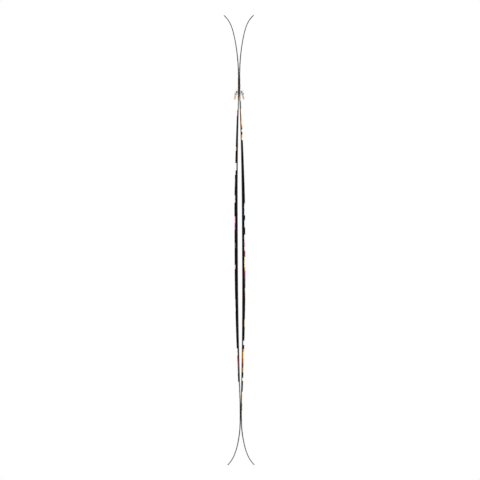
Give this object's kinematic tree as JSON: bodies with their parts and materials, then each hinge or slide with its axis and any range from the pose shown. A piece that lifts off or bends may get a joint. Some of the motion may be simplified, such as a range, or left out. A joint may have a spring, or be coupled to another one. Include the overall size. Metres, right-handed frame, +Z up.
{
  "type": "cross country ski",
  "caption": "Pair of twin-tip touring cross-country skis, held base to base by a sprung carrying clip around their forebodies.",
  "frame": {"origin": "on the floor, midway between the two tail ends, at the middle of the skis' width", "axes": "+Z up the skis from tail to tip, X through the skis' thickness with the left ski at -X, Y across the skis' width with the clip's open side at -Y"},
  "size_m": [0.1206, 0.0884, 1.79],
  "materials": {
    "ski_base": "black sintered polyethylene, fine structure lines along the ski",
    "edge_steel": "ground steel edge",
    "foil_rubber": "thin damping rubber",
    "laminate": "glass fibre in resin",
    "wood_core": "laminated strips, planed",
    "rail_plastic": "moulded rail",
    "spacer_plastic": "moulded spacer",
    "screw_mat": "glass mat in resin",
    "topsheet_print": "printed topsheet under clear gloss",
    "jaw_plastic": "moulded tan plastic, satin",
    "pad_rubber": "soft cream grip pad",
    "buffer_rubber": "dark brown spring rubber",
    "pin_steel": "turned steel",
    "plate_steel": "stamped and tumbled steel",
    "housing_clear": "clear moulded polycarbonate, lightly frosted"
  },
  "bodies": {
    "root": {"left_base": "ski_base", "left_edge_front": "edge_steel", "left_edge_rear": "edge_steel", "left_edge_foils": "foil_rubber", "left_bottom_laminate": "laminate", "left_core": "wood_core", "left_side_rail_front": "rail_plastic", "left_side_rail_rear": "rail_plastic", "left_tip_spacer": "spacer_plastic", "left_tail_spacer": "spacer_plastic", "left_binding_mat": "screw_mat", "left_top_laminate": "laminate", "left_topsheet": "topsheet_print", "left_buffer": "buffer_rubber", "left_pivot_pin": "pin_steel", "left_pivot_plates": "plate_steel", "right_base": "ski_base", "right_edge_front": "edge_steel", "right_edge_rear": "edge_steel", "right_edge_foils": "foil_rubber", "right_bottom_laminate": "laminate", "right_core": "wood_core", "right_side_rail_front": "rail_plastic", "right_side_rail_rear": "rail_plastic", "right_tip_spacer": "spacer_plastic", "right_tail_spacer": "spacer_plastic", "right_binding_mat": "screw_mat", "right_top_laminate": "laminate", "right_topsheet": "topsheet_print", "right_buffer": "buffer_rubber", "right_pivot_pin": "pin_steel", "right_pivot_plates": "plate_steel", "clip_housing": "housing_clear", "plate_rivets": "pin_steel"},
    "left_jaw_body": {"left_jaw": "jaw_plastic", "left_jaw_pad": "pad_rubber"},
    "right_jaw_body": {"right_jaw": "jaw_plastic", "right_jaw_pad": "pad_rubber"}
  },
  "joints": [
    {"name": "left_jaw_hinge", "type": "hinge", "parent": "root", "child": "left_jaw_body", "pos_m": [-0.0125, 0, 1.476], "axis": [0, -1, 0], "range_deg": [0, 14], "stiffness_Nm_per_rad": 1.2, "springref_deg": -8.59, "deforming": ["left_buffer"]},
    {"name": "right_jaw_hinge", "type": "hinge", "parent": "root", "child": "right_jaw_body", "pos_m": [0.0125, 0, 1.476], "axis": [0, 1, 0], "range_deg": [0, 14], "stiffness_Nm_per_rad": 1.2, "springref_deg": -8.59, "deforming": ["right_buffer"]}
  ]
}
